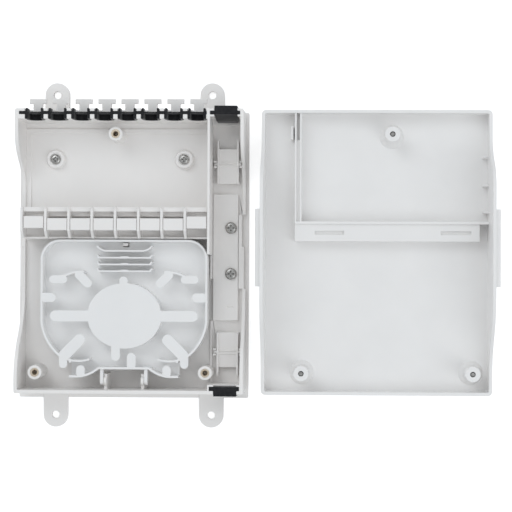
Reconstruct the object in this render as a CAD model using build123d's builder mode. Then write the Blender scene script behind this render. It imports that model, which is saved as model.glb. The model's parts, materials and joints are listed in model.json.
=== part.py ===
"""Wall-mounted eight-way fibre termination box, laid open like a book.

The base lies on its back plane (z = 0) with its inside up; the cover lies beside it on its outer
face, inside up.  Origin: centre of the four wall-fixing holes, +Y towards the drop-cable ports,
+Z out of the wall.  Swinging the cover by half a turn about HINGE_X, HINGE_Z closes the box.
"""
import os

from build123d import *

os.makedirs("parts", exist_ok=True)

# ---- driving dimensions, mm -------------------------------------------------------------------
CASE_HEIGHT = 50.0                      # back plane to front face, closed
FLOOR = 2.5                             # base floor and cover face
WALL = 2.5
GAP = 0.3                               # between pieces that come apart

PLATE_X, PLATE_Y = 165.0, 205.0         # back plate
BASE_X = 80.5                           # outer face of the base's side walls
BASE_Y = (-97.8, 102.2)                 # outer faces of its end walls
COVER_X, COVER_Y = 163.6, (-99.25, 103.25)
HINGE_X, HINGE_Z = 87.0, CASE_HEIGHT / 2
COVER_MID = 2 * HINGE_X                 # middle of the cover when laid open

PARTING_END, PARTING_MID = 34.0, 6.0    # height of the base walls at the ends and in the waist
RISE_BOTTOM = (-90.0, -26.0)            # where the rim slopes, towards the bottom
RISE_TOP = (46.0, 86.0)                 # and towards the ports

EAR_X, EAR_Y, EAR_W, EAR_T = 56.0, 115.0, 17.6, 3.0
EAR_HOLE_R = 2.7

PORT_COUNT, PORT_PITCH, PORT_FIRST = 8, 16.33, -66.8
PORT_X = [PORT_FIRST + PORT_PITCH * i for i in range(PORT_COUNT)]
SADDLE_R, SADDLE_T, SADDLE_DROP = 4.6, 1.8, 8.0
SEAL_WALL_Y = 94.8                      # inner face of the thick wall that carries the seals
RIB_Y, RIB_TOP = (87.1, 90.7), 3.9
STRIP_X, STRIP_Y, STRIP_Z = (-77.4, 54.4), (98.1, 100.1), (16.2, PARTING_END)

PLUG_X = (59.8, 75.9)                   # main-cable ports, one at each end
PLUG_WING = 3.0
PLUG_WINGS_Y = {"top": (98.0, 100.4), "bottom": (-95.3, -92.5)}
PLUG_BOTTOM = 8.0
WEB_TOP = 28.0                          # breakable web inside the bottom plug

PARTITION_X = (55.0, 56.8)
BOSS_Z = HINGE_Z - GAP / 2              # mating height of the cover-screw bosses
BOSS_R, INSERT_R, INSERT_L = 5.0, 3.1, 8.0
COVER_SCREWS = [(-10.8, 85.2), (-67.4, -83.5), (53.2, -83.5)]
SCREW_R, SCREW_STROKE = 1.5, 6.5        # captive cover screws
FLOOR_SCREWS = [(-56.4, 68.5), (36.1, 68.5)]
FLOOR_BOSS_Z, FLOOR_SINK = 7.0, 0.8      # boss height, and the depth of its screw's seat

CHANNEL_X, CHANNEL_Y = (57.1, 75.0), (-46.7, 43.5)
CHANNEL_Z, CHANNEL_T = 6.0, 2.0
CHANNEL_SCREWS = [(70.0, 19.4), (70.0, -13.4)]
CRADLE_X, CRADLE_LENGTH, CRADLE_TOP = (60.1, 75.5), 31.0, 9.2
CRADLE_ENDS = {"top": (50.9, 1), "bottom": (-55.2, -1)}     # closed end, and which way it opens

RACK_X, RACK_Y, RACK_TOP = (-76.3, 54.6), (11.0, 33.0), 34.0
CELL_FLOOR = 20.0                       # shelf that the adapters stand on
DIVIDER_T = 1.8
CLIP_X, CLIP_Y = 14.0, (16.6, 25.1)

TRAY_MID, TRAY_HALF = -4.2, 59.0
TRAY_FLOOR, TRAY_RIM = 13.0, 26.0
TRAY_T, RIM_T, FINGER_T = 1.5, 1.6, 1.8
TRAY_AXIS_Y, TRAY_AXIS_Z, TRAY_PIN_R = -89.5, 22.0, 1.5


# ---- helpers ----------------------------------------------------------------------------------
def block(x, y, z, mode=Mode.ADD):
    """A box in the active part, given by its (low, high) pair along each axis."""
    with Locations(((x[0] + x[1]) / 2, (y[0] + y[1]) / 2, (z[0] + z[1]) / 2)):
        Box(x[1] - x[0], y[1] - y[0], z[1] - z[0], mode=mode)


def post(x, y, radius, z, mode=Mode.ADD):
    """An upright cylinder in the active part, from z[0] to z[1]."""
    with Locations((x, y, (z[0] + z[1]) / 2)):
        Cylinder(radius, z[1] - z[0], mode=mode)


def beside(middle, reach):
    """The (low, high) pair that reaches equally to both sides of a middle."""
    return (middle - reach, middle + reach)


def above_rim(end_z, mid_z, roof):
    """Side view of the space above a rim that is at end_z near the ends and mid_z in the waist."""
    low, high = RISE_BOTTOM, RISE_TOP
    reach = PLATE_Y
    with BuildSketch(Plane.YZ) as region:
        with BuildLine():
            Line((-reach, end_z), (low[0], end_z))
            Bezier((low[0], end_z), (sum(low) / 2, end_z), (sum(low) / 2, mid_z), (low[1], mid_z))
            Line((low[1], mid_z), (high[0], mid_z))
            Bezier((high[0], mid_z), (sum(high) / 2, mid_z), (sum(high) / 2, end_z), (high[1], end_z))
            Polyline((high[1], end_z), (reach, end_z), (reach, roof), (-reach, roof), (-reach, end_z))
        make_face()
    return region.sketch


def saddle_face(x, y, radius, top):
    """Front view, in the plane Y = y, of a cable notch: straight sides over a half-round bottom."""
    centre_z = PARTING_END - SADDLE_DROP
    with BuildSketch(Plane.XZ.offset(-y)) as face:
        with Locations((x, centre_z)):
            Circle(radius)
        with Locations((x, (centre_z + top) / 2)):
            Rectangle(2 * radius, top - centre_z)
    return face.sketch


def finger(*points, width):
    """A flat bar with round ends along a line (two points) or an arc (three) in a sketch."""
    spine = Edge.make_line(*points) if len(points) == 2 else Edge.make_three_point_arc(*points)
    SlotArc(spine, width)


def tray_point(x, y, side=1):
    """A point on the tray, with x counted from its middle line towards one side."""
    return (TRAY_MID + side * x, y)


# ---- base -------------------------------------------------------------------------------------
inner_x = BASE_X - WALL
notch_low, notch_step, notch_high = -24.0, 6.0, 29.0        # finger notches beside the cover pads
anchor_z = (17.0, 19.5)

with BuildPart() as base:
    # back plate with four ears
    with BuildSketch(Plane.XY):
        RectangleRounded(PLATE_X, PLATE_Y, 0.8)
    extrude(amount=FLOOR)
    with BuildSketch(Plane.XY):
        for side in (-1, 1):
            with GridLocations(2 * EAR_X, 0, 2, 1):
                with Locations((0, side * EAR_Y)):
                    Circle(EAR_W / 2)
                with Locations((0, side * (EAR_Y - 8.0))):
                    Rectangle(EAR_W, 16.0)
    extrude(amount=EAR_T)

    # side and end walls, low in the waist, with finger notches where the cover pads come down
    with BuildSketch(Plane.XY.offset(FLOOR)):
        with Locations((0, sum(BASE_Y) / 2)):
            RectangleRounded(2 * BASE_X, BASE_Y[1] - BASE_Y[0], 1.5)
            RectangleRounded(2 * inner_x, BASE_Y[1] - BASE_Y[0] - 2 * WALL, 0.8, mode=Mode.SUBTRACT)
    extrude(amount=PARTING_END - FLOOR)
    extrude(above_rim(PARTING_END, PARTING_MID, CASE_HEIGHT), amount=PLATE_X, both=True,
            mode=Mode.SUBTRACT)
    block((75.3, inner_x + 1.0), (notch_low, notch_high), (FLOOR, PARTING_MID))
    block((77.9, PLATE_X / 2), (notch_step, notch_high), (FLOOR, CASE_HEIGHT), Mode.SUBTRACT)
    block((79.3, PLATE_X / 2), (notch_low, notch_step), (FLOOR, CASE_HEIGHT), Mode.SUBTRACT)
    block((-PLATE_X / 2, -79.2), (notch_low, notch_step), (FLOOR, CASE_HEIGHT), Mode.SUBTRACT)

    # thick end wall at the ports: a slot for the rubber strip, and a notch for each drop cable
    block((-inner_x, PARTITION_X[1]), (SEAL_WALL_Y, BASE_Y[1] - 1.0), (FLOOR, PARTING_END))
    block((PARTITION_X[0], inner_x), (96.6, BASE_Y[1] - 1.0), (FLOOR, PARTING_END))
    block((PARTITION_X[1], inner_x), (92.8, 97.0), (FLOOR, PLUG_BOTTOM - 0.2))
    block((STRIP_X[0] - 0.1, STRIP_X[1] + 0.1), (STRIP_Y[0] - 0.1, STRIP_Y[1] + 0.1),
          (STRIP_Z[0] - 0.2, CASE_HEIGHT), Mode.SUBTRACT)
    for x in PORT_X:
        extrude(saddle_face(x, STRIP_Y[0], SADDLE_R + SADDLE_T + 0.2, CASE_HEIGHT),
                amount=STRIP_Y[0] - SEAL_WALL_Y + 1.0, mode=Mode.SUBTRACT)
        extrude(saddle_face(x, PLATE_Y / 2, SADDLE_R + SADDLE_T + 0.2, CASE_HEIGHT),
                amount=PLATE_Y / 2 - STRIP_Y[1], mode=Mode.SUBTRACT)

    # T-shaped anchors outside the wall, for tying the drop cables down
    for x in PORT_X:
        block(beside(x, 3.4), (BASE_Y[1] - 1.0, 107.2), anchor_z)
        block(beside(x, 6.1), (106.9, 110.4), anchor_z)

    # main-cable ports at both ends, with slots for the wings of their rubber plugs; a low web
    # still closes the bottom one
    block((55.4, inner_x), (-97.0, -91.2), (FLOOR, PARTING_END))
    block(PLUG_X, (-92.4, -91.0), (WEB_TOP, CASE_HEIGHT), Mode.SUBTRACT)
    for end, (low, high) in PLUG_WINGS_Y.items():
        cut_y = (SEAL_WALL_Y - 1, PLATE_Y / 2) if end == "top" else (-PLATE_Y / 2, high + 0.1)
        block((PLUG_X[0] - 0.1, PLUG_X[1] + 0.1), cut_y, (PLUG_BOTTOM - 0.2, CASE_HEIGHT),
              Mode.SUBTRACT)
        block((PLUG_X[0] - PLUG_WING - 0.1, PLUG_X[1] + PLUG_WING - 1.0), (low - 0.1, high + 0.1),
              (PLUG_BOTTOM - 0.2, CASE_HEIGHT), Mode.SUBTRACT)

    # partition between the port side and the main-cable channel
    block(PARTITION_X, (0.0, SEAL_WALL_Y + 1.0), (FLOOR, PARTING_END))
    block(PARTITION_X, (-17.0, 1.0), (FLOOR, 8.0))
    block(PARTITION_X, (-92.0, -46.8), (FLOOR, 4.5))
    # low ribs on the floor of the port side
    block((-inner_x, PARTITION_X[0]), RIB_Y, (FLOOR, RIB_TOP))
    block((-inner_x, RIB_Y[1] - RIB_Y[0] - inner_x), (RACK_Y[1], RIB_Y[1]), (FLOOR, RIB_TOP))

    # bosses: cover screws (brass inserts), floor screws, channel-plate screws
    for x, y in COVER_SCREWS:
        post(x, y, BOSS_R, (FLOOR, BOSS_Z))
        post(x, y, INSERT_R, (BOSS_Z - INSERT_L - 1.0, CASE_HEIGHT), Mode.SUBTRACT)
    for x, y in FLOOR_SCREWS:
        with Locations((x, y, FLOOR)):
            Cone(7.2, 6.2, FLOOR_BOSS_Z - FLOOR, align=(Align.CENTER, Align.CENTER, Align.MIN))
        post(x, y, 4.0, (FLOOR_BOSS_Z - FLOOR_SINK, CASE_HEIGHT), Mode.SUBTRACT)
        post(x, y, 1.5, (FLOOR, CASE_HEIGHT), Mode.SUBTRACT)
    for x in (CHANNEL_X[0] + 1.6, CHANNEL_X[1] - 0.7):
        block(beside(x, 0.9), (CHANNEL_Y[0] + 1.0, CHANNEL_Y[1] - 1.0),
              (FLOOR, CHANNEL_Z - CHANNEL_T))
    for y in CHANNEL_Y:
        inset = 0.8 if y > 0 else -0.8
        block(CHANNEL_X, beside(y - inset, 0.8), (FLOOR, CHANNEL_Z - CHANNEL_T))
    for x, y in CHANNEL_SCREWS:
        post(x, y, 3.6, (FLOOR, CHANNEL_Z - CHANNEL_T))
        post(x, y, 1.5, (1.0, CASE_HEIGHT), Mode.SUBTRACT)

    # side posts that take the lugs of the cable cradles
    for closed_end, side in CRADLE_ENDS.values():
        for x in ((57.4, 59.7), (75.9, inner_x + 0.5)):
            block(x, beside(closed_end + side * 14.0, 2.6), (FLOOR, 9.0))
            block(x, beside(closed_end + side * 14.0, 1.2), (6.4, 20.0), Mode.SUBTRACT)

    # hinge posts, rests and catch of the splice tray
    for side in (-1, 1):
        x = sorted((TRAY_MID + side * 12.0, TRAY_MID + side * 14.2))
        block(x, (BASE_Y[0] + 1.0, -84.5), (FLOOR, TRAY_AXIS_Z))
        with BuildSketch(Plane.YZ.offset(x[0])):
            with Locations((TRAY_AXIS_Y, TRAY_AXIS_Z)):
                Circle(3.2)
        extrude(amount=x[1] - x[0])
        with BuildSketch(Plane.YZ.offset(x[0] - 1)):
            with Locations((TRAY_AXIS_Y, TRAY_AXIS_Z)):
                Circle(TRAY_PIN_R + 0.15)
        extrude(amount=4.2, mode=Mode.SUBTRACT)
    for x, y in [tray_point(side * 46.0, y) for side in (-1, 1) for y in (-8.0, -52.0)]:
        post(x, y, 3.0, (FLOOR, TRAY_FLOOR - 0.2))
    block(beside(TRAY_MID, 1.8), (6.4, 8.2), (FLOOR, 19.0))
    block(beside(TRAY_MID, 1.8), (5.9, 8.2), (17.2, 19.0))

    with GridLocations(2 * EAR_X, 2 * EAR_Y, 2, 2):
        Hole(EAR_HOLE_R)
base.part.label = "base"
export_step(base.part, "parts/base.step")


# ---- rubber seals -----------------------------------------------------------------------------
with BuildPart() as seal_strip:
    block(STRIP_X, STRIP_Y, STRIP_Z)
    for x in PORT_X:
        # half-round sleeve inside the wall, thin pierceable web across the strip
        extrude(saddle_face(x, STRIP_Y[0] + 0.5, SADDLE_R + SADDLE_T, PARTING_END),
                amount=STRIP_Y[0] + 0.5 - SEAL_WALL_Y)
        extrude(saddle_face(x, STRIP_Y[0] + 0.9, SADDLE_R, CASE_HEIGHT),
                amount=STRIP_Y[0] + 2.0 - SEAL_WALL_Y, mode=Mode.SUBTRACT)
        extrude(saddle_face(x, STRIP_Y[1] + 0.1, SADDLE_R, CASE_HEIGHT),
                amount=0.5, mode=Mode.SUBTRACT)
        for side in (-1, 1):
            block(beside(x + side * (SADDLE_R + 0.7), 0.7), (STRIP_Y[1] - 0.2, 102.3),
                  (PARTING_END - SADDLE_DROP + 0.2, PARTING_END))
seal_strip.part.label = "seal_strip"
export_step(seal_strip.part, "parts/seal_strip.step")

wing_reach = (PLUG_X[0] - PLUG_WING, PLUG_X[1] + PLUG_WING - 1.2)
for end, (low, high) in PLUG_WINGS_Y.items():
    name = f"port_plug_{end}"
    body_y = (low, high + 3.7) if end == "top" else (low - 3.9, high)
    with BuildPart() as plug:
        block(PLUG_X, body_y, (PLUG_BOTTOM, PARTING_END))
        block(wing_reach, (low, high), (PLUG_BOTTOM, PARTING_END))
        if end == "top":
            # its inner end slopes away below the rim
            start, inner = low, low - 3.6
            with BuildSketch(Plane.YZ.offset(PLUG_X[0] + 0.6)):
                with BuildLine():
                    Polyline((start, PARTING_END - 1.5), (inner, PARTING_END - 9.0),
                             (inner, PLUG_BOTTOM), (start, PLUG_BOTTOM), (start, PARTING_END - 1.5))
                make_face()
            extrude(amount=PLUG_X[1] - PLUG_X[0] - 1.2)
    plug.part.label = name
    export_step(plug.part, f"parts/{name}.step")


# ---- adapter rack and its clips ---------------------------------------------------------------
divider_x = [x + PORT_PITCH / 2 for x in PORT_X[:-1]]
with BuildPart() as adapter_rack:
    block(RACK_X, RACK_Y, (CELL_FLOOR - 1.8, CELL_FLOOR))
    block(RACK_X, (29.8, RACK_Y[1]), (FLOOR + 0.1, 30.0))
    block(RACK_X, (RACK_Y[0], 12.4), (FLOOR + 0.1, CELL_FLOOR + 4.0))
    block(RACK_X, (26.6, 30.0), (CELL_FLOOR - 0.5, CELL_FLOOR + 5.0))
    for x in [RACK_X[0] + DIVIDER_T / 2, *divider_x]:
        with BuildSketch(Plane.YZ.offset(x - DIVIDER_T / 2)):
            with BuildLine():
                Polyline((RACK_Y[0], FLOOR + 0.1), (RACK_Y[1], FLOOR + 0.1),
                         (RACK_Y[1], RACK_TOP - 2.0), (RACK_Y[1] - 2.0, RACK_TOP),
                         (RACK_Y[0] + 5.0, RACK_TOP), (RACK_Y[0], RACK_TOP - 6.0),
                         (RACK_Y[0], FLOOR + 0.1))
            make_face()
        extrude(amount=DIVIDER_T)
adapter_rack.part.label = "adapter_rack"
export_step(adapter_rack.part, "parts/adapter_rack.step")

for index, x in enumerate(PORT_X):
    at_end = index in (0, PORT_COUNT - 1)
    shift = 1.4 if at_end else 0.0          # the end cells hold their clips further back
    mid_x = x - 0.2 if index == 0 else x
    pad = [y + shift for y in CLIP_Y]
    with BuildPart() as clip:
        block(beside(mid_x, CLIP_X / 2), pad, (31.6, 33.8))
        fillet(clip.edges().group_by(Axis.Z)[-1], 0.5)
        block(beside(mid_x, CLIP_X / 2 - 1.2), (pad[1] - 2.4, pad[1] - 0.4), (CELL_FLOOR, 32.0))
        block(beside(mid_x, CLIP_X / 2 - 1.2), (pad[1] - 4.0, pad[1] - 0.4),
              (CELL_FLOOR, CELL_FLOOR + 1.6))
    clip.part.label = f"adapter_clip_{index + 1}"
    export_step(clip.part, f"parts/adapter_clip_{index + 1}.step")


# ---- splice tray ------------------------------------------------------------------------------
corner, low_turn = 14.0, -48.0
bar_half, lobe_half, lobe_y = 17.6, 38.6, -87.0
neck_y = -75.3

with BuildPart() as splice_tray:
    # outline, drawn on one side and mirrored about the middle line
    with BuildSketch(Plane.XY.offset(TRAY_FLOOR)) as tray_outline:
        with BuildLine() as edge_line:
            Polyline(tray_point(0, -81.1), tray_point(0, 10.4),
                     tray_point(TRAY_HALF - corner, 10.4))
            RadiusArc(tray_point(TRAY_HALF - corner, 10.4),
                      tray_point(TRAY_HALF, 10.4 - corner), corner)
            Line(tray_point(TRAY_HALF, 10.4 - corner), tray_point(TRAY_HALF, low_turn))
            ThreePointArc(tray_point(TRAY_HALF, low_turn), tray_point(54.8, -61.2),
                          tray_point(46.0, -72.0))
            Polyline(tray_point(46.0, -72.0), tray_point(lobe_half, neck_y),
                     tray_point(lobe_half, lobe_y), tray_point(lobe_half - 7.0, lobe_y))
            ThreePointArc(tray_point(lobe_half - 7.0, lobe_y), tray_point(24.0, -85.0),
                          tray_point(bar_half, -81.1))
            Line(tray_point(bar_half, -81.1), tray_point(0, -81.1))
        make_face()
        mirror(about=Plane.YZ.offset(TRAY_MID))
    extrude(amount=TRAY_T)
    with BuildSketch(Plane.XY.offset(TRAY_FLOOR)):
        add(tray_outline.sketch)
        offset(tray_outline.sketch, amount=-RIM_T, kind=Kind.INTERSECTION, mode=Mode.SUBTRACT)
    extrude(amount=TRAY_RIM - TRAY_FLOOR)

    # storage drum, hollow from below
    with BuildSketch(Plane.XY.offset(TRAY_FLOOR)):
        with Locations(tray_point(0.4, -43.4)):
            Ellipse(26.1, 23.1)
    extrude(amount=TRAY_RIM - TRAY_FLOOR)
    with BuildSketch(Plane.XY.offset(TRAY_FLOOR)):
        with Locations(tray_point(0.4, -43.4)):
            Ellipse(24.5, 21.5)
    extrude(amount=TRAY_RIM - TRAY_FLOOR - FINGER_T, mode=Mode.SUBTRACT)

    # fingers that keep the fibre down, flush with the rim
    with BuildSketch(Plane.XY.offset(TRAY_RIM - FINGER_T)):
        for side in (-1, 1):
            finger(tray_point(20.0, -43.6, side), tray_point(48.4, -43.6, side), width=7.8)
            finger(tray_point(55.6, -30.6, side), tray_point(51.4, -30.6, side), width=6.6)
            finger(tray_point(50.0, -17.8, side), tray_point(43.0, -17.8, side), width=5.7)
            finger(tray_point(31.6, -14.6, side), tray_point(25.8, -20.4, side), width=6.4)
            finger(tray_point(41.6, -71.0, side), tray_point(31.2, -60.4, side), width=8.0)
            finger(tray_point(42.8, -72.0, side), tray_point(42.8, -77.6, side), width=5.8)
            finger(tray_point(30.4, -83.9, side), tray_point(30.4, -81.2, side), width=6.0)
        finger(tray_point(-0.2, -24.0), tray_point(-0.2, -18.6), width=6.0)
        finger(tray_point(-5.7, -63.0), tray_point(-5.7, -72.0), width=6.3)
        finger(tray_point(5.5, -77.9), tray_point(5.5, -72.5), width=6.3)
    extrude(amount=FINGER_T)

    # guide walls, and the comb that holds the splice sleeves
    with BuildSketch(Plane.XY.offset(TRAY_FLOOR)):
        for side in (-1, 1):
            finger(tray_point(45.6, -17.4, side), tray_point(37.6, -13.4, side),
                   tray_point(29.0, -12.4, side), width=RIM_T)
            finger(tray_point(39.4, -74.2, side), tray_point(32.1, -75.4, side),
                   tray_point(24.6, -74.2, side), width=1.4)
    extrude(amount=TRAY_RIM - TRAY_FLOOR)
    with BuildSketch(Plane.XY.offset(TRAY_FLOOR)):
        finger(tray_point(-13.6, 2.4), tray_point(12.6, 2.4), width=1.2)
        for side in (-1, 1):
            finger(tray_point(13.0, 2.4, side), tray_point(16.6, 3.5, side),
                   tray_point(19.2, 5.6, side), width=1.2)
        for y in (-2.4, -7.15, -11.9):
            finger(tray_point(-18.4, y), tray_point(18.4, y), width=1.2)
            finger(tray_point(-2.2, y + 0.5), tray_point(2.2, y + 0.5), width=1.2)
            for side in (-1, 1):
                finger(tray_point(18.0, y, side), tray_point(19.2, y + 1.6, side), width=1.2)
    extrude(amount=TRAY_RIM - TRAY_FLOOR - 2.0)

    # open outer ends of the two lobes at the hinge
    for side in (-1, 1):
        end_x = sorted((TRAY_MID + side * (lobe_half - RIM_T - 0.1), TRAY_MID + side * (lobe_half + 1)))
        block(end_x, (lobe_y + RIM_T, neck_y - 1.2), (TRAY_FLOOR + TRAY_T, TRAY_RIM + 1), Mode.SUBTRACT)

    # slot for the catch, and hinge arms with inward pins
    block(beside(TRAY_MID, 2.2), (5.4, 8.5), (TRAY_FLOOR - 1, TRAY_FLOOR + TRAY_T + 1),
          Mode.SUBTRACT)
    for side in (-1, 1):
        arm = sorted((TRAY_MID + side * 14.4, TRAY_MID + side * 16.8))
        block(arm, (TRAY_AXIS_Y, -80.5), (TRAY_AXIS_Z - 2.6, TRAY_AXIS_Z + 2.6))
        with BuildSketch(Plane.YZ.offset(arm[0])):
            with Locations((TRAY_AXIS_Y, TRAY_AXIS_Z)):
                Circle(2.6)
        extrude(amount=arm[1] - arm[0])
        pin = sorted((TRAY_MID + side * 12.2, TRAY_MID + side * 15.0))
        with BuildSketch(Plane.YZ.offset(pin[0])):
            with Locations((TRAY_AXIS_Y, TRAY_AXIS_Z)):
                Circle(TRAY_PIN_R)
        extrude(amount=pin[1] - pin[0])
splice_tray.part.label = "splice_tray"
export_step(splice_tray.part, "parts/splice_tray.step")


# ---- main-cable channel: screwed plate and two snap-in cradles --------------------------------
with BuildPart() as channel_plate:
    block(CHANNEL_X, CHANNEL_Y, (CHANNEL_Z - CHANNEL_T, CHANNEL_Z))
    block((66.8, 71.6), (-37.6, -36.6), (CHANNEL_Z - 0.5, CHANNEL_Z + 1), Mode.SUBTRACT)
    with Locations(*[(x, y, CHANNEL_Z) for x, y in CHANNEL_SCREWS]):
        Hole(1.8)
channel_plate.part.label = "channel_plate"
export_step(channel_plate.part, "parts/channel_plate.step")

for name, (closed_end, side) in CRADLE_ENDS.items():
    def along(low, high):
        """Distances from the cradle's closed end as an ordered pair of Y positions."""
        return sorted((closed_end + side * low, closed_end + side * high))

    with BuildPart() as cradle:
        block(CRADLE_X, along(0, CRADLE_LENGTH - 6.0), (5.8, 7.4))
        for x in ((CRADLE_X[0], CRADLE_X[0] + 1.4), (CRADLE_X[1] - 1.4, CRADLE_X[1])):
            block(x, along(0, CRADLE_LENGTH), (FLOOR + 0.1, CRADLE_TOP))
        block((CRADLE_X[0] - 0.6, CRADLE_X[1] + 0.6), along(0, 1.4), (FLOOR + 0.1, 7.4))
        for y in (12.9, 15.1):
            block(CRADLE_X, along(y - 0.6, y + 0.6), (7.0, 8.2))
        with BuildSketch(Plane.YZ.offset(CRADLE_X[0] - 1.6)):
            with Locations((closed_end + side * 14.0, 7.7)):
                Circle(1.0)
        extrude(amount=2.0)
        with BuildSketch(Plane.YZ.offset(CRADLE_X[1] - 0.4)):
            with Locations((closed_end + side * 14.0, 7.7)):
                Circle(1.0)
        extrude(amount=2.0)
    cradle.part.label = f"cable_cradle_{name}"
    export_step(cradle.part, f"parts/cable_cradle_{name}.step")


# ---- cover ------------------------------------------------------------------------------------
cover_mid_y, cover_len_y = sum(COVER_Y) / 2, COVER_Y[1] - COVER_Y[0]
cover_end_z = CASE_HEIGHT - PARTING_END - GAP
cover_mid_z = CASE_HEIGHT - PARTING_MID - GAP
beam_z = 15.4                           # top of the ribs over the partition and the rack
pad_y, pad_x, pad_z = (-22.3, 31.7), 3.2, (16.0, 41.5)
COVER_WALL = 2.4
BEAM_TOP = 13.2                         # hollow beam that stands over the adapter rack


def cover_x(closed_x):
    """Where a place on the closed box's X axis lies on the opened cover."""
    return COVER_MID - closed_x


with BuildPart() as cover:
    with BuildSketch(Plane.XY):
        with Locations((COVER_MID, cover_mid_y)):
            RectangleRounded(COVER_X, cover_len_y, 3.0)
    extrude(amount=cover_mid_z)
    fillet(cover.edges().group_by(Axis.Z)[0], 2.0)
    with BuildSketch(Plane.XY.offset(FLOOR)):
        with Locations((COVER_MID, cover_mid_y)):
            RectangleRounded(COVER_X - 2 * COVER_WALL, cover_len_y - 2 * COVER_WALL, 1.2)
    extrude(amount=CASE_HEIGHT, mode=Mode.SUBTRACT)
    extrude(above_rim(cover_end_z, cover_mid_z, 2 * CASE_HEIGHT), amount=2 * COVER_MID,
            mode=Mode.SUBTRACT)

    # finger pads on both sides
    for side in (-1, 1):
        face_x = COVER_MID + side * COVER_X / 2
        with BuildSketch(Plane.XZ.offset(-pad_y[1])):
            with BuildLine():
                Polyline((face_x - side * 1.0, pad_z[0]), (face_x, pad_z[0]),
                         (face_x + side * pad_x, pad_z[0] + 6.0),
                         (face_x + side * pad_x, pad_z[1] - 0.6),
                         (face_x + side * (pad_x - 0.6), pad_z[1]),
                         (face_x - side * 1.0, pad_z[1]), (face_x - side * 1.0, pad_z[0]))
            make_face()
        extrude(amount=pad_y[1] - pad_y[0])

    # double rib over the partition, filled lower between, and a short stiffener beside it
    rib_x = cover_x(sum(PARTITION_X) / 2)
    top_inside = COVER_Y[1] - COVER_WALL + 0.5
    for x in (rib_x - 1.8, rib_x + 1.8):
        block(beside(x, 0.65), (22.2, top_inside), (FLOOR - 0.5, beam_z))
    block(beside(rib_x, 1.8), (22.2, 82.0), (FLOOR - 0.5, beam_z - 2.4))
    block(beside(rib_x, 1.8), (82.0, top_inside), (FLOOR - 0.5, beam_z - 6.0))
    block(beside(rib_x - 4.4, 0.9), (82.4, 92.0), (FLOOR - 0.5, 12.0))

    # gussets on the far wall
    for y in (30.7, 49.7, 70.0):
        block((249.6, COVER_MID + COVER_X / 2 - 1.0), beside(y, 0.6), (FLOOR - 0.5, beam_z))

    # hollow beam over the adapter rack, with two shallow slots
    beam_x = (rib_x - 2.4, 247.0)
    block((rib_x - 2.4, COVER_MID + COVER_X / 2 - 1.0), (22.2, 24.0), (FLOOR - 0.5, beam_z))
    block(beam_x, (9.9, 23.0), (BEAM_TOP - 3.2, BEAM_TOP))
    block(beam_x, (9.9, 11.4), (FLOOR - 0.5, BEAM_TOP))
    for x in (beam_x[0] + 0.8, beam_x[1] - 0.8):
        block(beside(x, 0.8), (9.9, 23.0), (FLOOR - 0.5, BEAM_TOP))
    for x in ((130.1, 150.7), (219.6, 240.9)):
        block(x, (14.8, 17.3), (BEAM_TOP - 2.2, BEAM_TOP + 1), Mode.SUBTRACT)

    # bosses for the captive screws, bored from the outer face
    for closed_x, y in COVER_SCREWS:
        x = cover_x(closed_x)
        with Locations((x, y, FLOOR)):
            Cone(8.6, 5.4, 7.0, align=(Align.CENTER, Align.CENTER, Align.MIN))
        post(x, y, 5.4, (FLOOR, BOSS_Z))
        post(x, y, SCREW_R + 0.4, (-1.0, CASE_HEIGHT), Mode.SUBTRACT)
        post(x, y, 3.6, (-1.0, 12.4), Mode.SUBTRACT)
cover.part.label = "cover"
export_step(cover.part, "parts/cover.step")


# ---- fasteners --------------------------------------------------------------------------------
with BuildPart() as threaded_inserts:
    for x, y in COVER_SCREWS:
        post(x, y, INSERT_R, (BOSS_Z - INSERT_L, BOSS_Z))
        post(x, y, SCREW_R + 0.15, (0.0, CASE_HEIGHT), Mode.SUBTRACT)
threaded_inserts.part.label = "threaded_inserts"
export_step(threaded_inserts.part, "parts/threaded_inserts.step")


def pan_screw(x, y, seat_z, head_r, head_h, length):
    """A pan-head screw with a cross recess, its head seated at seat_z, in the active part."""
    post(x, y, head_r, (seat_z, seat_z + head_h))
    post(x, y, SCREW_R - 0.1, (seat_z - length, seat_z + 0.5))
    for size in ((head_r * 1.1, 1.0), (1.0, head_r * 1.1)):
        block(beside(x, size[0] / 2), beside(y, size[1] / 2),
              (seat_z + head_h - 1.1, seat_z + head_h + 1), Mode.SUBTRACT)


with BuildPart() as floor_screws:
    for x, y in FLOOR_SCREWS:
        pan_screw(x, y, FLOOR_BOSS_Z - FLOOR_SINK, 3.4, 2.2, 3.4)
floor_screws.part.label = "floor_screws"
export_step(floor_screws.part, "parts/floor_screws.step")

with BuildPart() as channel_screws:
    for x, y in CHANNEL_SCREWS:
        pan_screw(x, y, CHANNEL_Z, 4.2, 2.2, 4.6)
channel_screws.part.label = "channel_screws"
export_step(channel_screws.part, "parts/channel_screws.step")

for name, (closed_x, y) in zip(("top", "left", "right"), COVER_SCREWS):
    with BuildPart() as cover_screw:
        x = cover_x(closed_x)
        post(x, y, 3.2, (3.0, 5.6))
        post(x, y, SCREW_R, (5.0, BOSS_Z - 0.6))
        chamfer(cover_screw.edges().group_by(Axis.Z)[-1], 0.5)
        for size in ((3.6, 1.0), (1.0, 3.6)):
            block(beside(x, size[0] / 2), beside(y, size[1] / 2), (2.0, 4.2), Mode.SUBTRACT)
    cover_screw.part.label = f"cover_screw_{name}"
    export_step(cover_screw.part, f"parts/cover_screw_{name}.step")
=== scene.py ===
"""Fibre termination box, laid open on a white table.

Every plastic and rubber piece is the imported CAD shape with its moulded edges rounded.  The screws,
with their recesses and threads, and the brass inserts are built here.  Lengths are in metres.
"""
import json
import math

import bmesh
import bpy
from mathutils import Matrix, Vector


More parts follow.
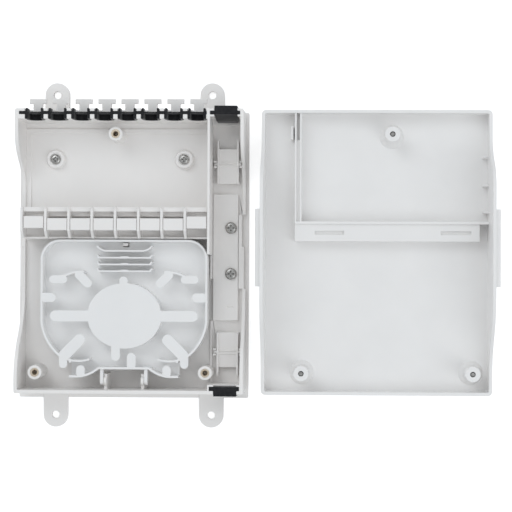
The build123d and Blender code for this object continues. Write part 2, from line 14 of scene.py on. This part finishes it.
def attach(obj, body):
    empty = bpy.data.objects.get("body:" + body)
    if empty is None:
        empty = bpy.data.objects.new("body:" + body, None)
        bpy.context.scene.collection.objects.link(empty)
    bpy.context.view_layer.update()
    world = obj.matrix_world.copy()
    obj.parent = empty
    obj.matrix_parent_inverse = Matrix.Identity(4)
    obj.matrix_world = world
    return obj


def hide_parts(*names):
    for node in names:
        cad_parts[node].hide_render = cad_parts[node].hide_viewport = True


MM = 0.001
WELD = 0.002 * MM                        # points of a CAD mesh this close are one point
EDGE_ANGLE = 38.0                        # degrees; a sharper meeting of two faces is an edge

DAYLIGHT = (0.935, 0.972, 1.0)           # slightly cool studio light
DAYLIGHT_STRENGTH = 0.62
BOX_MIDDLE = (0.087, 0.0, 0.0)           # between the base and the opened cover

CAMERA_PLACE = (0.1462, -0.0203, 1.1065)
CAMERA_TARGET = (0.1171, -0.0077, 0.0)
CAMERA_ROLL = math.radians(0.22)
FOCAL_LENGTH, SENSOR_WIDTH = 108.2, 36.0  # millimetres, as Blender's cameras take them

TABLE_REACH = 3.0
TABLE_Z = -0.0003                        # just under the back of the box
TABLE_GLOW = 0.55                        # as the camera sees it

SEATED_HEAD_H, SEATED_SHANK_R = 2.2 * MM, 1.4 * MM
COVER_HEAD_H, COVER_SHANK_R = 2.6 * MM, 1.5 * MM

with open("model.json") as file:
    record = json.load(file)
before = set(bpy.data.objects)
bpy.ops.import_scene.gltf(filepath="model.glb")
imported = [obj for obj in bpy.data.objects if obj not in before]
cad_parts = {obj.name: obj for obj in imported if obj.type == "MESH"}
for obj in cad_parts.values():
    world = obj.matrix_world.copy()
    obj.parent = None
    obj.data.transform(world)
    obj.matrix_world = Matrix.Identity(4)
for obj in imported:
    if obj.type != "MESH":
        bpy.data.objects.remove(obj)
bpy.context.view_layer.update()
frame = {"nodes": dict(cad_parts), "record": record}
scene = bpy.context.scene


# ---- camera, light and table ------------------------------------------------------------------
def aim(obj, place, target, roll=0.0):
    """Put a camera or light at place, looking at target, with +Y up in its view but for the roll."""
    back = (Vector(place) - Vector(target)).normalized()
    right = Vector((0, 1, 0)).cross(back).normalized()
    turn = Matrix((right, back.cross(right), back)).transposed().to_4x4()
    obj.matrix_world = Matrix.Translation(place) @ turn @ Matrix.Rotation(roll, 4, "Z")
    scene.collection.objects.link(obj)
    return obj


def add_camera():
    lens = bpy.data.cameras.new("camera")
    lens.lens, lens.sensor_width = FOCAL_LENGTH, SENSOR_WIDTH
    lens.shift_x, lens.shift_y = -0.08, 0.02
    lens.clip_end = 20.0
    scene.camera = aim(bpy.data.objects.new("camera", lens), CAMERA_PLACE, CAMERA_TARGET, CAMERA_ROLL)


def add_light(name, place, size, power):
    light = bpy.data.lights.new(name, "AREA")
    light.shape, light.size, light.size_y = "RECTANGLE", size[0], size[1]
    light.energy, light.color = power, DAYLIGHT
    aim(bpy.data.objects.new(name, light), place, BOX_MIDDLE)


def add_table():
    """A table that looks pure white, and lights the object only as much as white paint would."""
    mesh = bpy.data.meshes.new("table")
    corners = [(x * TABLE_REACH, y * TABLE_REACH, TABLE_Z) for x, y in ((-1, -1), (1, -1), (1, 1), (-1, 1))]
    mesh.from_pydata(corners, [], [(0, 1, 2, 3)])
    table = bpy.data.objects.new("table", mesh)
    scene.collection.objects.link(table)
    material, nodes, links, surface = new_material("table_white")
    surface.inputs["Base Color"].default_value = (0.93, 0.93, 0.93, 1)
    surface.inputs["Roughness"].default_value = 0.8
    surface.inputs["Emission Color"].default_value = (1, 1, 1, 1)
    seen, glow = nodes.new("ShaderNodeLightPath"), nodes.new("ShaderNodeMath")
    glow.operation = "MULTIPLY"
    glow.inputs[1].default_value = TABLE_GLOW
    links.new(seen.outputs["Is Camera Ray"], glow.inputs[0])
    links.new(glow.outputs[0], surface.inputs["Emission Strength"])
    mesh.materials.append(material)


def light_studio():
    world = bpy.data.worlds.new("studio")
    scene.world = world
    world.use_nodes = True
    background = world.node_tree.nodes["Background"]
    background.inputs["Color"].default_value = (*DAYLIGHT, 1)
    background.inputs["Strength"].default_value = DAYLIGHT_STRENGTH
    add_light("key", (-0.7, 0.9, 1.5), (1.2, 0.9), 6.5)
    add_light("fill", (1.1, -0.6, 1.4), (1.4, 1.0), 6.0)
    scene.view_settings.view_transform = "Standard"


# ---- materials --------------------------------------------------------------------------------
def new_material(name):
    material = bpy.data.materials.new(name)
    material.use_nodes = True
    nodes, links = material.node_tree.nodes, material.node_tree.links
    return material, nodes, links, nodes["Principled BSDF"]


def object_coordinates(nodes):
    return nodes.new("ShaderNodeTexCoord").outputs["Object"]


def noise(nodes, links, vector, feature, detail=3.0, roughness=0.55):
    """Noise whose features are about that many metres across."""
    texture = nodes.new("ShaderNodeTexNoise")
    texture.inputs["Scale"].default_value = 1.0 / feature
    texture.inputs["Detail"].default_value = detail
    texture.inputs["Roughness"].default_value = roughness
    links.new(vector, texture.inputs["Vector"])
    return texture.outputs["Fac"]


def ramp(nodes, links, value, low, high):
    """Map noise, most of which lies between 0.3 and 0.7, onto the range from low to high."""
    node = nodes.new("ShaderNodeMapRange")
    node.inputs["From Min"].default_value, node.inputs["From Max"].default_value = 0.3, 0.7
    node.inputs["To Min"].default_value, node.inputs["To Max"].default_value = low, high
    links.new(value, node.inputs["Value"])
    return node.outputs["Result"]


def blend_colours(nodes, links, value, first, second):
    """Mix two colours by noise, the first where it is low."""
    node = nodes.new("ShaderNodeValToRGB")
    node.color_ramp.elements[0].position, node.color_ramp.elements[1].position = 0.35, 0.65
    node.color_ramp.elements[0].color = (*first, 1)
    node.color_ramp.elements[1].color = (*second, 1)
    links.new(value, node.inputs["Fac"])
    return node.outputs["Color"]


def bump(nodes, links, height, depth, strength, under=None):
    node = nodes.new("ShaderNodeBump")
    node.inputs["Strength"].default_value = strength
    node.inputs["Distance"].default_value = depth
    links.new(height, node.inputs["Height"])
    if under is not None:
        links.new(under, node.inputs["Normal"])
    return node.outputs["Normal"]


def moulded_plastic(name, colour, roughness, grain, glow):
    """Fine spark-eroded plastic: even grain, faint sink and flow marks, slightly uneven gloss."""
    material, nodes, links, surface = new_material(name)
    where = object_coordinates(nodes)
    darker = tuple(0.975 * c for c in colour)
    cloud = noise(nodes, links, where, 35 * MM, detail=4)
    links.new(blend_colours(nodes, links, cloud, darker, colour), surface.inputs["Base Color"])
    gloss = noise(nodes, links, where, 9 * MM, detail=5)
    links.new(ramp(nodes, links, gloss, roughness - 0.05, roughness + 0.05),
              surface.inputs["Roughness"])
    waves = bump(nodes, links, noise(nodes, links, where, 14 * MM, detail=1), 0.05 * MM, 0.35)
    grains = bump(nodes, links, noise(nodes, links, where, grain, detail=2), 0.02 * MM, 0.5, waves)
    links.new(grains, surface.inputs["Normal"])
    surface.inputs["IOR"].default_value = 1.5
    surface.inputs["Subsurface Weight"].default_value = glow
    surface.inputs["Subsurface Radius"].default_value = (1.0, 0.95, 0.9)
    surface.inputs["Subsurface Scale"].default_value = 0.8 * MM
    return material


def moulded_rubber():
    material, nodes, links, surface = new_material("seal_rubber")
    where = object_coordinates(nodes)
    dust = noise(nodes, links, where, 2.2 * MM, detail=6, roughness=0.7)
    links.new(blend_colours(nodes, links, dust, (0.012, 0.012, 0.014), (0.026, 0.026, 0.028)),
              surface.inputs["Base Color"])
    links.new(ramp(nodes, links, dust, 0.36, 0.52), surface.inputs["Roughness"])
    skin = bump(nodes, links, noise(nodes, links, where, 0.35 * MM), 0.03 * MM, 0.5)
    links.new(skin, surface.inputs["Normal"])
    surface.inputs["Specular IOR Level"].default_value = 0.15
    surface.inputs["Sheen Weight"].default_value = 0.25
    surface.inputs["Sheen Roughness"].default_value = 0.35
    return material


def turned_metal(name, colour, roughness, stain):
    """Plated or turned metal, with a fine grain and patches of tarnish."""
    material, nodes, links, surface = new_material(name)
    where = object_coordinates(nodes)
    patches = noise(nodes, links, where, 1.6 * MM, detail=6, roughness=0.65)
    links.new(blend_colours(nodes, links, patches, stain, colour), surface.inputs["Base Color"])
    links.new(ramp(nodes, links, patches, roughness + 0.12, roughness - 0.06),
              surface.inputs["Roughness"])
    surface.inputs["Metallic"].default_value = 1.0
    grain = bump(nodes, links, noise(nodes, links, where, 0.12 * MM, detail=2), 0.01 * MM, 0.5)
    links.new(grain, surface.inputs["Normal"])
    return material


WHITE = moulded_plastic("white_abs", (0.925, 0.90, 0.88), 0.42, 0.45 * MM, 0.10)
COVER_WHITE = moulded_plastic("cover_abs", (0.918, 0.904, 0.893), 0.40, 0.45 * MM, 0.10)
TRAY_WHITE = moulded_plastic("tray_abs", (0.912, 0.905, 0.90), 0.33, 0.30 * MM, 0.14)
RUBBER = moulded_rubber()
BRASS = turned_metal("brass", (0.87, 0.78, 0.66), 0.30, (0.66, 0.54, 0.40))
STEEL = turned_metal("plated_steel", (0.58, 0.57, 0.55), 0.24, (0.30, 0.29, 0.28))


# ---- mesh helpers -----------------------------------------------------------------------------
def make_piece(name, bm, material, body, node):
    """Turn a bmesh into a piece that rides on a body and stands for a CAD node."""
    mesh = bpy.data.meshes.new(name)
    bm.to_mesh(mesh)
    bm.free()
    mesh.materials.append(material)
    piece = bpy.data.objects.new(name, mesh)
    scene.collection.objects.link(piece)
    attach(piece, body)
    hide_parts(node)
    return piece


def smooth_shading(piece, angle):
    piece.data.shade_smooth()
    piece.data.set_sharp_from_angle(angle=math.radians(angle))


def round_edges(piece, radius):
    """Real rounded edges, wherever two faces meet at more than EDGE_ANGLE."""
    bevel = piece.modifiers.new("rounded_edges", "BEVEL")
    bevel.width, bevel.segments = radius, 2
    bevel.limit_method, bevel.angle_limit = "ANGLE", math.radians(EDGE_ANGLE)
    bevel.use_clamp_overlap = False
    bevel.loop_slide = False
    flatten = piece.modifiers.new("flat_faces", "WEIGHTED_NORMAL")
    flatten.mode, flatten.weight, flatten.keep_sharp = "FACE_AREA", 60, True


def moulding(node, material, body, radius):
    """A CAD node with its mesh welded and its edges rounded, as it leaves the mould."""
    bm = bmesh.new()
    bm.from_mesh(frame["nodes"][node].data)
    bmesh.ops.remove_doubles(bm, verts=bm.verts, dist=WELD)
    piece = make_piece(node + "_moulding", bm, material, body, node)
    smooth_shading(piece, EDGE_ANGLE)
    round_edges(piece, radius)


def lathe(bm, centre, profile, steps=48):
    """Add to the bmesh the shape that (radius, height) points make round a vertical axis."""
    rings = []
    for radius, height in profile:
        if radius == 0.0:
            rings.append([bm.verts.new((centre[0], centre[1], height))])
            continue
        turn = [2 * math.pi * i / steps for i in range(steps)]
        rings.append([bm.verts.new((centre[0] + radius * math.cos(a),
                                    centre[1] + radius * math.sin(a), height)) for a in turn])
    for low, high in zip(rings, rings[1:]):
        for i in range(steps):
            j = (i + 1) % steps
            corners = [low[i % len(low)], low[j % len(low)], high[j % len(high)], high[i % len(high)]]
            corners = list(dict.fromkeys(corners))
            if len(corners) > 2:
                bm.faces.new(corners)


def cut(piece, cutter_bm):
    """Subtract a closed shape from a piece, and keep the result as its mesh."""
    mesh = bpy.data.meshes.new("cutter")
    cutter_bm.to_mesh(mesh)
    cutter_bm.free()
    cutter = bpy.data.objects.new("cutter", mesh)
    scene.collection.objects.link(cutter)
    boolean = piece.modifiers.new("cut", "BOOLEAN")
    boolean.operation, boolean.object, boolean.solver = "DIFFERENCE", cutter, "EXACT"
    bpy.context.view_layer.update()
    evaluated = piece.evaluated_get(bpy.context.evaluated_depsgraph_get())
    result = bpy.data.meshes.new_from_object(evaluated)
    piece.modifiers.remove(boolean)
    piece.data = result
    bpy.data.objects.remove(cutter)


# ---- screws and inserts -----------------------------------------------------------------------
def cross_slot(bm, centre, surface_z, inwards, reach, turn):
    """One tapered arm of a cross recess; inwards is -1 when it is cut downwards."""
    spin = Matrix.Rotation(turn, 3, "Z")
    width, depth = 1.05 * MM, 1.35 * MM
    ends = []
    for level, scale, thin in ((-0.5 * MM, 1.1, 1.0), (depth, 0.45, 0.62)):
        half_x, half_y = reach * scale, width / 2 * thin
        corners = ((-half_x, -half_y), (half_x, -half_y), (half_x, half_y), (-half_x, half_y))
        ends.append([bm.verts.new(Vector((*centre, surface_z + inwards * level))
                                  + spin @ Vector((x, y, 0))) for x, y in corners])
    low, high = ends
    bm.faces.new(low[::-1])
    bm.faces.new(high)
    for i in range(4):
        j = (i + 1) % 4
        bm.faces.new((low[i], low[j], high[j], high[i]))
    bmesh.ops.recalc_face_normals(bm, faces=bm.faces)


def thread(bm, centre, radius, low, high):
    """A helical thread on a rod from low to high, closed by flat ends."""
    pitch, depth = 0.55 * MM, 0.22 * MM
    steps, rows_per_turn, fade_rows = 32, 6, 4
    rows = max(2, round((high - low) / pitch * rows_per_turn))
    rings = []
    for row in range(rows + 1):
        z = low + (high - low) * row / rows
        fade = min(1.0, row / fade_rows, (rows - row) / fade_rows)
        ring = []
        for i in range(steps):
            phase = ((z / pitch) + i / steps) % 1.0
            tooth = abs(2 * phase - 1)
            r = radius - depth * (1 - tooth * fade)
            angle = 2 * math.pi * i / steps
            ring.append(bm.verts.new((centre[0] + r * math.cos(angle),
                                      centre[1] + r * math.sin(angle), z)))
        rings.append(ring)
    for a, b in zip(rings, rings[1:]):
        for i in range(steps):
            j = (i + 1) % steps
            bm.faces.new((a[i], a[j], b[j], b[i]))
    bm.faces.new(rings[0][::-1])
    bm.faces.new(rings[-1])
    bmesh.ops.recalc_face_normals(bm, faces=bm.faces)


def pan_head(bm, centre, seat_z, head_r, head_h, up):
    """A pan head on its seat; up is -1 for a screw whose head hangs below its seat."""
    outline = [(0.0, 0.0), (0.93, 0.0), (1.0, 0.25), (0.985, 0.55), (0.90, 0.80), (0.72, 0.94),
               (0.45, 1.0), (0.0, 1.0)]
    lathe(bm, centre, [(head_r * r, seat_z + up * head_h * h) for r, h in outline])
    bmesh.ops.recalc_face_normals(bm, faces=bm.faces)


def build_screw(name, body, node, centre, seat_z, head_r, head_h, shank_r, tip_z):
    """A pan-head screw with a cross recess and a threaded shank that ends at tip_z."""
    into_head = 0.2 * MM                 # how far the shank reaches into the head
    up = 1 if seat_z > tip_z else -1
    bm = bmesh.new()
    pan_head(bm, centre, seat_z, head_r, head_h, up)
    piece = make_piece(name, bm, STEEL, body, node)
    for turn in (0.0, math.pi / 2):
        cutter = bmesh.new()
        cross_slot(cutter, centre, seat_z + up * head_h, -up, head_r * 0.60, turn)
        cut(piece, cutter)
    whole = bmesh.new()
    whole.from_mesh(piece.data)
    low, high = sorted((tip_z, seat_z + up * into_head))
    thread(whole, centre, shank_r, low, high)
    whole.to_mesh(piece.data)
    whole.free()
    smooth_shading(piece, 35.0)


def solid_centres(node):
    """Centre x and y, lowest and highest z, and radius of each separate round solid in a CAD node."""
    bm = bmesh.new()
    bm.from_mesh(frame["nodes"][node].data)
    bmesh.ops.remove_doubles(bm, verts=bm.verts, dist=WELD)
    left = set(bm.verts)
    found = []
    while left:
        island, queue = set(), [left.pop()]
        while queue:
            vert = queue.pop()
            island.add(vert)
            near = {edge.other_vert(vert) for edge in vert.link_edges} & left
            left -= near
            queue.extend(near)
        lows = [min(v.co[k] for v in island) for k in range(3)]
        highs = [max(v.co[k] for v in island) for k in range(3)]
        found.append(((lows[0] + highs[0]) / 2, (lows[1] + highs[1]) / 2, lows[2], highs[2],
                      (highs[0] - lows[0]) / 2))
    bm.free()
    return sorted(found)


def build_seated_screws(node):
    """Screws driven down into the base, one for each solid of the node."""
    for number, (x, y, low, high, radius) in enumerate(solid_centres(node), 1):
        build_screw(f"{node}_{number}", "base", node, (x, y), high - SEATED_HEAD_H, radius,
                    SEATED_HEAD_H, SEATED_SHANK_R, low)


def build_cover_screws():
    """Captive screws: head in the counterbore of the outer face, tip in the boss."""
    for node in ("cover_screw_top", "cover_screw_left", "cover_screw_right"):
        x, y, low, high, radius = solid_centres(node)[0]
        build_screw(node + "_machined", node, node, (x, y), low + COVER_HEAD_H, radius,
                    COVER_HEAD_H, COVER_SHANK_R, high)


def build_inserts():
    """Brass inserts, turned, with a chamfered mouth and a shallow groove near the top."""
    bore = 1.65 * MM
    lip, mouth = 0.12 * MM, 0.45 * MM    # chamfers of the outer edge and of the bore
    for number, (x, y, low, high, radius) in enumerate(solid_centres("threaded_inserts"), 1):
        bm = bmesh.new()
        profile = [(bore, low), (radius * 0.9, low), (radius, low + 0.5 * MM), (radius, high - 1.2 * MM),
                   (radius * 0.94, high - 1.0 * MM), (radius, high - 0.8 * MM), (radius, high - lip),
                   (radius - lip, high), (bore + mouth, high), (bore, high - mouth), (bore, low)]
        lathe(bm, (x, y), profile)
        bmesh.ops.remove_doubles(bm, verts=bm.verts, dist=0.001 * MM)
        bmesh.ops.recalc_face_normals(bm, faces=bm.faces)
        piece = make_piece(f"threaded_insert_{number}", bm, BRASS, "base",
                           "threaded_inserts")
        smooth_shading(piece, 30.0)


# ---- the box ----------------------------------------------------------------------------------
def build_mouldings():
    bodies = frame["record"]["behaviour"]["bodies"]
    for node in bodies["base"]:
        if node in ("base", "adapter_rack"):
            moulding(node, WHITE, "base", 0.30 * MM)
        elif node.startswith(("adapter_clip", "cable_cradle", "channel_plate")):
            moulding(node, WHITE, "base", 0.22 * MM)
        elif node.startswith(("seal", "port_plug")):
            moulding(node, RUBBER, "base", 0.25 * MM)
    moulding("cover", COVER_WHITE, "cover", 0.30 * MM)
    moulding("splice_tray", TRAY_WHITE, "tray", 0.22 * MM)


add_camera()
light_studio()
add_table()
build_mouldings()
build_seated_screws("floor_screws")
build_seated_screws("channel_screws")
build_cover_screws()
build_inserts()
